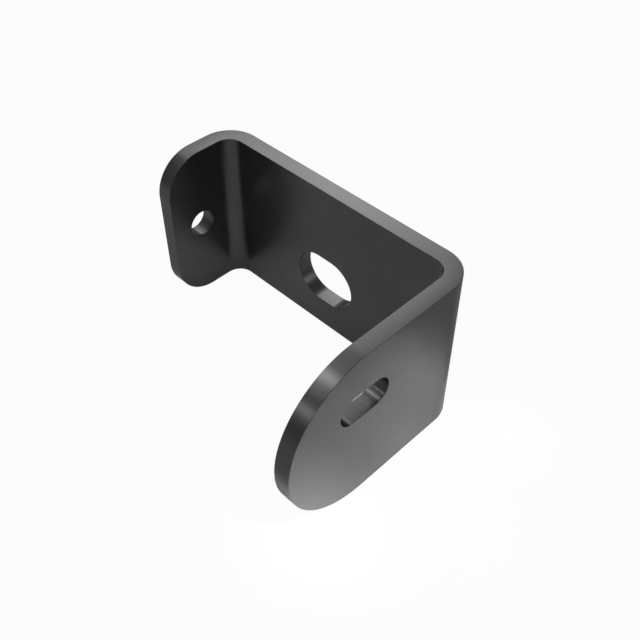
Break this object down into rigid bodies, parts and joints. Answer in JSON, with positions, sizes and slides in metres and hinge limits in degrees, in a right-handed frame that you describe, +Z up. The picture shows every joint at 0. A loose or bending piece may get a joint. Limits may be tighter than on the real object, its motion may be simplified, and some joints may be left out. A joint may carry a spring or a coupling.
{
  "type": "water line bracket",
  "caption": "U-shaped bracket folded from steel plate, with a short drilled leg, a long slotted leg with a round end, and an oblong opening for a water line in its web.",
  "frame": {"origin": "under the middle of the bracket's box, on the lower edge that it stands on", "axes": "+X along the web, from the short leg towards the long leg; +Y from the legs' tips towards the back of the web; +Z up, along the folds"},
  "size_m": [0.095, 0.0672, 0.0516],
  "materials": {
    "blackened_plate": "satin black oxide on laser-cut rolled steel plate"
  },
  "bodies": {
    "root": {"bracket": "blackened_plate"}
  },
  "joints": []
}
